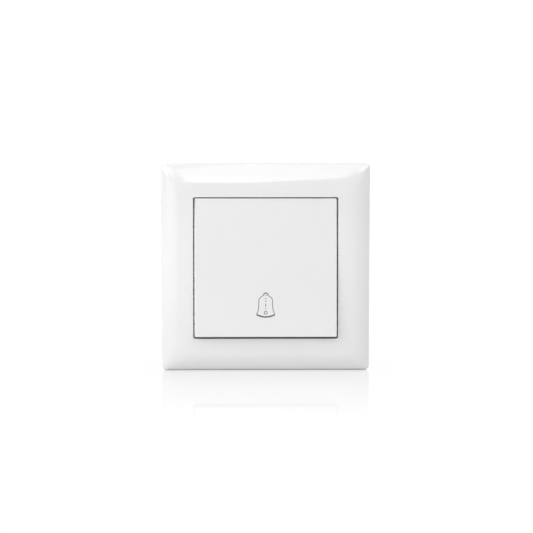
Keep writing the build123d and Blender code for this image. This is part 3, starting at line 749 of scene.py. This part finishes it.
class Nodes:
    """A material's node tree, with short calls to add and join nodes."""

    def __init__(self, name):
        self.material = bpy.data.materials.new(name)
        self.material.use_nodes = True
        self.tree = self.material.node_tree
        self.shader = self.tree.nodes["Principled BSDF"]
        self.place = self.tree.nodes.new("ShaderNodeTexCoord").outputs["Object"]

    def set(self, **values):
        for name, value in values.items():
            self.shader.inputs[name.replace("_", " ")].default_value = value

    def noise(self, scale, detail=2.0, stretch=(1, 1, 1)):
        """Soft noise around 0.5 in spots a metre, drawn out along an axis by a stretch below 1."""
        mapping = self.tree.nodes.new("ShaderNodeMapping")
        mapping.inputs["Scale"].default_value = stretch
        texture = self.tree.nodes.new("ShaderNodeTexNoise")
        texture.inputs["Scale"].default_value = scale
        texture.inputs["Detail"].default_value = detail
        self.tree.links.new(self.place, mapping.inputs["Vector"])
        self.tree.links.new(mapping.outputs["Vector"], texture.inputs["Vector"])
        return texture.outputs["Fac"]

    def between(self, value, low, high, first=0.0, last=1.0):
        """A value from first to last, brought to the range from low to high."""
        node = self.tree.nodes.new("ShaderNodeMapRange")
        node.inputs["From Min"].default_value = first
        node.inputs["From Max"].default_value = last
        node.inputs["To Min"].default_value = low
        node.inputs["To Max"].default_value = high
        self.tree.links.new(value, node.inputs["Value"])
        return node.outputs["Result"]

    def math(self, operation, *values):
        node = self.tree.nodes.new("ShaderNodeMath")
        node.operation = operation
        for value, socket in zip(values, node.inputs):
            self.tree.links.new(value, socket)
        return node.outputs["Value"]

    def mix(self, value, first, second):
        """A colour between two, by a value from 0 to 1."""
        node = self.tree.nodes.new("ShaderNodeMix")
        node.data_type = "RGBA"
        node.inputs["A"].default_value = (*first, 1)
        node.inputs["B"].default_value = (*second, 1)
        self.tree.links.new(value, node.inputs["Factor"])
        return node.outputs["Result"]

    def join(self, output, name):
        self.tree.links.new(output, self.shader.inputs[name])

    def bump(self, height, depth, strength=1.0):
        node = self.tree.nodes.new("ShaderNodeBump")
        node.inputs["Distance"].default_value = depth
        node.inputs["Strength"].default_value = strength
        self.tree.links.new(height, node.inputs["Height"])
        self.join(node.outputs["Normal"], "Normal")


def shaded(tone, factor):
    return tuple(channel * factor for channel in tone)


def spread(value, factors):
    return [value * factor for factor in factors]


def white_plastic(name, tone, roughness):
    """Polished white moulding: faint flow marks in its colour and gloss, and painted shade deep in its narrow
    gaps.
    """
    nodes = Nodes(name)
    nodes.set(IOR=WHITE_IOR)
    unshaded_colour = nodes.mix(nodes.noise(FLOW_SCALE), shaded(tone, FLOW_SHADE), tone)
    # Ambient occlusion darkens the colour where shade falls: painted shade in the gaps and along the rim by
    # the floor
    openness = nodes.tree.nodes.new("ShaderNodeAmbientOcclusion")
    openness.inputs["Distance"].default_value = PAINTED_SHADE_REACH
    painted_shade = nodes.mix(nodes.between(openness.outputs["AO"], 0.0, 1.0, *PAINTED_SHADE_RANGE), PAINTED_SHADE_TONE, tone)
    # The colour with its flow marks, free of painted shade, takes the plain tone's place
    nodes.tree.links.new(unshaded_colour, painted_shade.node.inputs["B"])
    nodes.join(painted_shade, "Base Color")
    nodes.join(nodes.between(nodes.noise(GLOSS_SCALE), *spread(roughness, GLOSS_SPREAD)), "Roughness")
    nodes.bump(nodes.noise(RIPPLE_SCALE), RIPPLE_DEPTH, RIPPLE_STRENGTH)
    return nodes.material


def metal(name, dark, light, roughness, stretch):
    """Bare or plated metal: uneven in tone, with fine marks drawn out the way it was rolled or turned."""
    nodes = Nodes(name)
    nodes.set(Metallic=1.0)
    marks = nodes.noise(MARK_SCALE, detail=MARK_DETAIL, stretch=stretch)
    tone = nodes.math("MULTIPLY", marks, nodes.noise(PATCH_SCALE))
    nodes.join(nodes.mix(nodes.between(tone, 0.0, 1.0, *PATCH_RANGE), dark, light), "Base Color")
    nodes.join(nodes.between(marks, *spread(roughness, MARK_GLOSS_SPREAD), *MARK_RANGE), "Roughness")
    nodes.bump(marks, MARK_DEPTH, MARK_STRENGTH)
    return nodes.material


def sparked_plastic(name, tone, roughness):
    """Matte moulding with a spark-eroded grain."""
    nodes = Nodes(name)
    nodes.set(IOR=GRAIN_IOR)
    grain = nodes.noise(GRAIN_SCALE, detail=GRAIN_DETAIL)
    nodes.join(nodes.mix(nodes.noise(CLOUD_SCALE), shaded(tone, CLOUD_SHADE), tone), "Base Color")
    nodes.join(nodes.between(grain, *spread(roughness, GRAIN_GLOSS_SPREAD)), "Roughness")
    nodes.bump(grain, GRAIN_DEPTH, GRAIN_STRENGTH)
    return nodes.material


def printed_ink(name, thin, full):
    """Pad-printed ink, a little uneven in density."""
    nodes = Nodes(name)
    nodes.join(nodes.mix(nodes.noise(INK_SCALE), full, thin), "Base Color")
    nodes.join(nodes.between(nodes.noise(INK_GLOSS_SCALE), *INK_ROUGHNESS), "Roughness")
    return nodes.material


materials = {"white_gloss": white_plastic("white_gloss", WHITE_TONE, FRAME_ROUGHNESS)}
for name, looks in MATTE_PLASTICS.items():
    materials[name] = sparked_plastic(name, *looks)
for name, looks in METALS.items():
    materials[name] = metal(name, *looks)
plate_white = white_plastic("plate_white", WHITE_TONE, PLATE_ROUGHNESS)
sign_ink = printed_ink("sign_ink", INK_THIN_TONE, INK_FULL_TONE)

add_piece("cover_frame", make_cover_frame(), materials["white_gloss"], weighted=False)
add_piece("rocker_plate", make_rocker_plate(), plate_white, weighted=False)
sign = add_mesh("bell_sign", make_sign(), sign_ink)
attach(sign, "rocker")

for node, radius in EDGE_RADII.items():
    piece = add_piece(node, bevelled(node_shape(node), radius), materials[slot_of_node[node]])
    if node in LEAF_NODES:
        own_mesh(piece)

claw_screw_length = PLATE_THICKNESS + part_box("claw_screw_right")[1].y
claw_screw = make_screw(CLAW_SCREW_RADIUS, claw_screw_length, CLAW_HEAD_RADIUS, CLAW_HEAD_HEIGHT)
for name, side in (("left", -1), ("right", 1)):
    shape = placed(claw_screw, lambda u, v, w: lift(side * CLAW_SCREW_X + u, v, PLATE_THICKNESS + w))
    add_piece("claw_screw_" + name, shape, materials["screw_steel"])

for name, side in (("line", 1), ("bell", -1)):
    low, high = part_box("terminal_screw_" + name)
    length = high.z - low.z - TERMINAL_HEAD_HEIGHT
    seat = max(abs(low.z), abs(high.z)) - TERMINAL_HEAD_HEIGHT
    shape = placed(
        make_screw(TERMINAL_SCREW_RADIUS, length, TERMINAL_HEAD_RADIUS, TERMINAL_HEAD_HEIGHT),
        lambda u, v, w: Vector((-side * TERMINAL_X + u, TERMINAL_Y + side * v, side * (seat + w))),
    )
    add_piece("terminal_screw_" + name, shape, materials["screw_steel"])

rivets = [placed(make_rivet(), lambda u, v, w: lift(x + u, z + v, w)) for x, z in RIVETS]
add_piece("plate_rivets", joined(*rivets), materials["screw_steel"])
spring = add_piece("return_spring", make_spring(), materials["spring_steel"], weighted=False)
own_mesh(spring)


def glow(name, luminance):
    """A plain light-giving material."""
    material = bpy.data.materials.new(name)
    material.use_nodes = True
    tree = material.node_tree
    tree.nodes.remove(tree.nodes["Principled BSDF"])
    emission = tree.nodes.new("ShaderNodeEmission")
    emission.inputs["Strength"].default_value = luminance
    tree.links.new(emission.outputs["Emission"], tree.nodes["Material Output"].inputs["Surface"])
    return material


def fading_glow(name, first, last, heights):
    """A light-giving material whose luminance changes from one height to another."""
    material = glow(name, first)
    nodes = material.node_tree.nodes
    links = material.node_tree.links
    split = nodes.new("ShaderNodeSeparateXYZ")
    fade = nodes.new("ShaderNodeMapRange")
    for socket, value in zip(("From Min", "From Max", "To Min", "To Max"), (*heights, first, last)):
        fade.inputs[socket].default_value = value
    links.new(nodes.new("ShaderNodeTexCoord").outputs["Object"], split.inputs["Vector"])
    links.new(split.outputs["Z"], fade.inputs["Value"])
    links.new(fade.outputs["Result"], nodes["Emission"].inputs["Strength"])
    return material


def floor_material():
    """Lit white table top with a mirror image at low angles, which fades away from what stands on it."""
    nodes = Nodes("studio_floor")
    nodes.set(Base_Color=(0, 0, 0, 1), Roughness=1.0, Specular_IOR_Level=0.0)
    nodes.set(Emission_Color=(1, 1, 1, 1), Emission_Strength=FLOOR_GLOW)
    split = nodes.tree.nodes.new("ShaderNodeSeparateXYZ")
    nodes.tree.links.new(nodes.place, split.inputs["Vector"])
    depth = nodes.math("ABSOLUTE", split.outputs["Y"])
    aside = nodes.math("ABSOLUTE", split.outputs["X"])
    near = nodes.between(depth, FLOOR_MIRROR, 0.0, last=FLOOR_MIRROR_REACH)
    beside = nodes.between(aside, 1.0, 0.0, first=FRAME_HALF_WIDTH, last=FRAME_HALF_WIDTH + FLOOR_MIRROR_SIDE)
    grazing = nodes.tree.nodes.new("ShaderNodeLayerWeight").outputs["Facing"]
    gloss = nodes.between(grazing, 0.0, 1.0, *FLOOR_GLOSS_RANGE)
    share = nodes.math("MULTIPLY", nodes.math("MULTIPLY", near, beside), gloss)
    mirror = nodes.tree.nodes.new("ShaderNodeBsdfGlossy")
    mirror.inputs["Roughness"].default_value = FLOOR_MIRROR_ROUGHNESS
    both = nodes.tree.nodes.new("ShaderNodeMixShader")
    nodes.tree.links.new(share, both.inputs["Fac"])
    nodes.tree.links.new(nodes.shader.outputs["BSDF"], both.inputs[1])
    nodes.tree.links.new(mirror.outputs["BSDF"], both.inputs[2])
    nodes.tree.links.new(both.outputs["Shader"], nodes.tree.nodes["Material Output"].inputs["Surface"])
    return nodes.material


def studio_sheet(name, points, faces, material):
    sheet = add_mesh(name, (points, faces), material)
    return sheet


def toward(azimuth, elevation, distance):
    """The way to a place that is seen at an azimuth from the front and an elevation, at a distance."""
    reach = distance * cos(elevation)
    return Vector((reach * sin(azimuth), -reach * cos(azimuth), distance * sin(elevation)))


def dome_panel(name, azimuths, lows, high, material, radius=DOME_RADIUS):
    """A soft light panel on a dome, unseen by the camera, whose lower edge may slope."""
    points, faces = [], []
    for column in range(PANEL_STEPS + 1):
        azimuth = blend(*azimuths, column / PANEL_STEPS)
        low = blend(*lows, column / PANEL_STEPS)
        for row in range(PANEL_STEPS + 1):
            elevation = blend(low, high, row / PANEL_STEPS)
            points.append(toward(azimuth, elevation, radius))
    row_length = PANEL_STEPS + 1
    for column in range(PANEL_STEPS):
        for row in range(PANEL_STEPS):
            corner = column * row_length + row
            faces.append((corner, corner + 1, corner + row_length + 1, corner + row_length))
    studio_sheet(name, points, faces, material).visible_camera = False


strip_glow = fading_glow("strip_panel", STRIP_LUMINANCE, STRIP_TOP_LUMINANCE, STRIP_FADE_HEIGHTS)
dome_panel("strip_panel", STRIP_AZIMUTHS, (STRIP_LOW, STRIP_LOW), STRIP_HIGH, strip_glow)
dome_panel("strip_end", STRIP_END_AZIMUTHS, (STRIP_LOW, STRIP_END_LOW), STRIP_HIGH, strip_glow)
left_card_glow = glow("left_card", LEFT_CARD_LUMINANCE)
left_card_lows = (LEFT_CARD_LOW, LEFT_CARD_LOW)
dome_panel("left_card", LEFT_CARD_AZIMUTHS, left_card_lows, LEFT_CARD_HIGH, left_card_glow, LEFT_CARD_RADIUS)
for name, (*degrees, luminance) in PANELS.items():
    first, last, low, high = [radians(angle) for angle in degrees]
    dome_panel(name, (first, last), (low, low), high, glow(name, luminance))

square = box_outline(0, 0, FLOOR_SIZE, FLOOR_SIZE)
floor_points = [Vector((x, y, FLOOR_LEVEL)) for x, y in square]
floor = studio_sheet("floor", floor_points, ONE_FACE, floor_material())
bounce = Nodes("bounce")
bounce.set(Base_Color=(BOUNCE_TONE, BOUNCE_TONE, BOUNCE_TONE, 1), Roughness=1.0, Specular_IOR_Level=0.0)
bounce.set(Emission_Color=(1, 1, 1, 1), Emission_Strength=BOUNCE_GLOW)
table_points = [Vector((x, y, FLOOR_LEVEL - BOUNCE_DROP)) for x, y in square]
table = studio_sheet("table", table_points, ONE_FACE, bounce.material)
table.visible_camera = False
backdrop_outline = box_outline(0, FLOOR_LEVEL + BACKDROP_HEIGHT / 2, BACKDROP_WIDTH, BACKDROP_HEIGHT)
backdrop_points = [Vector((x, BACKDROP_DISTANCE, z)) for x, z in backdrop_outline]
studio_sheet("backdrop", backdrop_points, ONE_FACE, glow("backdrop", BACKDROP_LUMINANCE))

sky_angles = [blend(SKY_LOW, pi / 2, step / SKY_STEPS) for step in range(SKY_STEPS)]
sky_profile = [(SKY_RADIUS * cos(a), SKY_RADIUS * sin(a)) for a in sky_angles]
sky = studio_sheet("sky", *turned(sky_profile), glow("sky", SKY_LUMINANCE))
for sheet in (floor, sky):
    sheet.visible_diffuse = False
    sheet.visible_glossy = False
    sheet.visible_shadow = False

world = bpy.data.worlds.new("studio")
world.use_nodes = True
world.node_tree.nodes["Background"].inputs["Color"].default_value = (1, 1, 1, 1)
world.node_tree.nodes["Background"].inputs["Strength"].default_value = WORLD_LUMINANCE
bpy.context.scene.world = world
bpy.context.scene.view_settings.view_transform = "Standard"

camera = bpy.data.objects.new("camera", bpy.data.cameras.new("camera"))
camera.data.lens = CAMERA_LENS
camera.data.sensor_width = CAMERA_SENSOR
camera.data.clip_start = CAMERA_NEAR
offset = toward(CAMERA_AZIMUTH, CAMERA_ELEVATION, CAMERA_DISTANCE)
camera.location = CAMERA_AIM + offset
camera.rotation_euler = (-offset).to_track_quat("-Z", "Y").to_euler()
bpy.context.scene.collection.objects.link(camera)
bpy.context.scene.camera = camera

bpy.context.view_layer.update()
